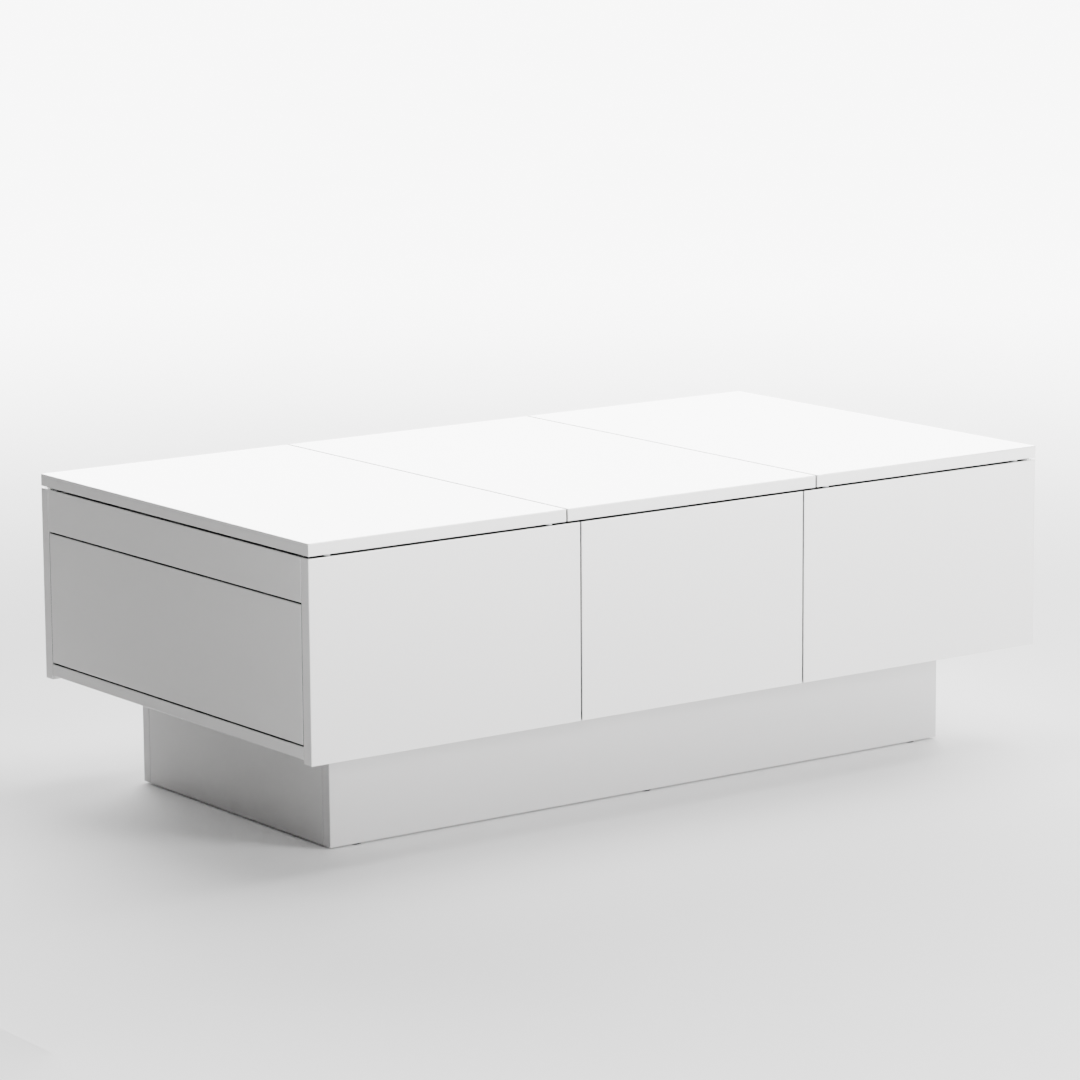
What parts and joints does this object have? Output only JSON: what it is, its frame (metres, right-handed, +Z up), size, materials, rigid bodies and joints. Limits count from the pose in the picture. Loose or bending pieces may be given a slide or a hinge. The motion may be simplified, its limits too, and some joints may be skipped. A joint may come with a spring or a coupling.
{
  "type": "lift top coffee table",
  "caption": "Low white box coffee table on an inset plinth: lifting middle top, two hinged side lids, drawers in the ends and front, hidden compartments.",
  "frame": {"origin": "on the floor under the middle of the table", "axes": "+X along the length to the right as seen from the front, +Y from front to rear, +Z up"},
  "size_m": [1.1, 0.6, 0.385],
  "materials": {
    "gloss_white": "high gloss lacquer on board",
    "plinth_white": "satin lacquer on board",
    "melamine_white": "fine textured white melamine",
    "raw_board": "bare particle board",
    "black_steel": "black powder coat, fine texture",
    "spring_steel": "oiled drawn wire",
    "zinc_steel": "bright zinc plate",
    "nickel_steel": "nickel plate",
    "zinc_alloy": "dull cast zinc",
    "grey_plastic": "moulded, matt",
    "black_plastic": "moulded, matt",
    "clear_pad": "soft clear elastomer"
  },
  "bodies": {
    "carcass": {"body_hinge_leaves": "nickel_steel", "bottom_board": "gloss_white", "cam_locks": "zinc_alloy", "floor_glides": "black_plastic", "left_compartment_floor": "melamine_white", "left_divider": "melamine_white", "left_end_rail": "gloss_white", "left_front_panel": "gloss_white", "left_plinth_end": "plinth_white", "left_rear_panel": "gloss_white", "lid_hinge_pins": "nickel_steel", "lift_base_pins": "zinc_steel", "lift_base_plates": "black_steel", "lift_base_screws": "zinc_steel", "lift_compartment_floor": "melamine_white", "lift_compartment_front": "melamine_white", "lift_spring_studs": "zinc_steel", "lift_springs": "spring_steel", "middle_rear_panel": "gloss_white", "plinth_corner_blocks": "raw_board", "plinth_cross_boards": "raw_board", "plinth_front": "plinth_white", "plinth_rear": "plinth_white", "push_latch_bodies": "grey_plastic", "right_compartment_floor": "melamine_white", "right_divider": "melamine_white", "right_end_rail": "gloss_white", "right_front_panel": "gloss_white", "right_plinth_end": "plinth_white", "right_rear_panel": "gloss_white", "runner_cabinet_members": "zinc_steel", "top_bumpers": "clear_pad"},
    "lift_rear_arms": {"lift_rear_arms": "black_steel", "lift_cross_tube": "black_steel"},
    "lift_front_arms": {"lift_front_arms": "black_steel"},
    "lift_top": {"lift_top_panel": "gloss_white", "lift_upper_brackets": "black_steel", "lift_upper_pins": "zinc_steel"},
    "left_lid": {"left_lid_panel": "gloss_white", "left_lid_hinge_leaves": "nickel_steel"},
    "right_lid": {"right_lid_panel": "gloss_white", "right_lid_hinge_leaves": "nickel_steel"},
    "left_drawer": {"left_drawer_front": "gloss_white", "left_drawer_box": "melamine_white", "left_drawer_bottom": "melamine_white", "left_runner_drawer_members": "zinc_steel"},
    "left_runners": {"left_runner_middle_members": "zinc_steel"},
    "left_plunger": {"left_latch_plunger": "grey_plastic"},
    "right_drawer": {"right_drawer_front": "gloss_white", "right_drawer_box": "melamine_white", "right_drawer_bottom": "melamine_white", "right_runner_drawer_members": "zinc_steel"},
    "right_runners": {"right_runner_middle_members": "zinc_steel"},
    "right_plunger": {"right_latch_plunger": "grey_plastic"},
    "middle_drawer": {"middle_drawer_front": "gloss_white", "middle_drawer_box": "melamine_white", "middle_drawer_bottom": "melamine_white", "middle_runner_drawer_members": "zinc_steel"},
    "middle_runners": {"middle_runner_middle_members": "zinc_steel"},
    "middle_plunger": {"middle_latch_plunger": "grey_plastic"}
  },
  "joints": [
    {"name": "lift", "type": "hinge", "parent": "carcass", "child": "lift_rear_arms", "pos_m": [0, -0.06, 0.296], "axis": [1, 0, 0], "range_deg": [0, 105]},
    {"name": "lift_front_link", "type": "hinge", "parent": "carcass", "child": "lift_front_arms", "pos_m": [0, -0.135, 0.323], "axis": [1, 0, 0], "range_deg": [0, 105]},
    {"name": "lift_level", "type": "hinge", "parent": "lift_rear_arms", "child": "lift_top", "pos_m": [0, 0.16912, 0.31605], "axis": [1, 0, 0], "range_deg": [-105, 0]},
    {"name": "left_lid_hinge", "type": "hinge", "parent": "carcass", "child": "left_lid", "pos_m": [-0.37, 0.298, 0.3696], "axis": [-1, 0, 0], "range_deg": [0, 90]},
    {"name": "right_lid_hinge", "type": "hinge", "parent": "carcass", "child": "right_lid", "pos_m": [0.37, 0.298, 0.3696], "axis": [-1, 0, 0], "range_deg": [0, 90]},
    {"name": "left_drawer_slide", "type": "slide", "parent": "carcass", "child": "left_drawer", "axis": [-1, 0, 0], "range_m": [0, 0.28]},
    {"name": "left_runner_slide", "type": "slide", "parent": "carcass", "child": "left_runners", "axis": [-1, 0, 0], "range_m": [0, 0.14]},
    {"name": "left_plunger_slide", "type": "slide", "parent": "carcass", "child": "left_plunger", "axis": [1, 0, 0], "range_m": [0, 0.003], "stiffness_N_per_m": 200},
    {"name": "right_drawer_slide", "type": "slide", "parent": "carcass", "child": "right_drawer", "axis": [1, 0, 0], "range_m": [0, 0.28]},
    {"name": "right_runner_slide", "type": "slide", "parent": "carcass", "child": "right_runners", "axis": [1, 0, 0], "range_m": [0, 0.14]},
    {"name": "right_plunger_slide", "type": "slide", "parent": "carcass", "child": "right_plunger", "axis": [-1, 0, 0], "range_m": [0, 0.003], "stiffness_N_per_m": 200},
    {"name": "middle_drawer_slide", "type": "slide", "parent": "carcass", "child": "middle_drawer", "axis": [0, -1, 0], "range_m": [0, 0.44]},
    {"name": "middle_runner_slide", "type": "slide", "parent": "carcass", "child": "middle_runners", "axis": [0, -1, 0], "range_m": [0, 0.22]},
    {"name": "middle_plunger_slide", "type": "slide", "parent": "carcass", "child": "middle_plunger", "axis": [0, 1, 0], "range_m": [0, 0.003], "stiffness_N_per_m": 200}
  ],
  "couplings": [
    {"joint": "lift_front_link", "follows": "lift", "ratio": 1},
    {"joint": "lift_level", "follows": "lift", "ratio": -1},
    {"joint": "left_runner_slide", "follows": "left_drawer_slide", "ratio": 0.5},
    {"joint": "right_runner_slide", "follows": "right_drawer_slide", "ratio": 0.5},
    {"joint": "middle_runner_slide", "follows": "middle_drawer_slide", "ratio": 0.5}
  ]
}
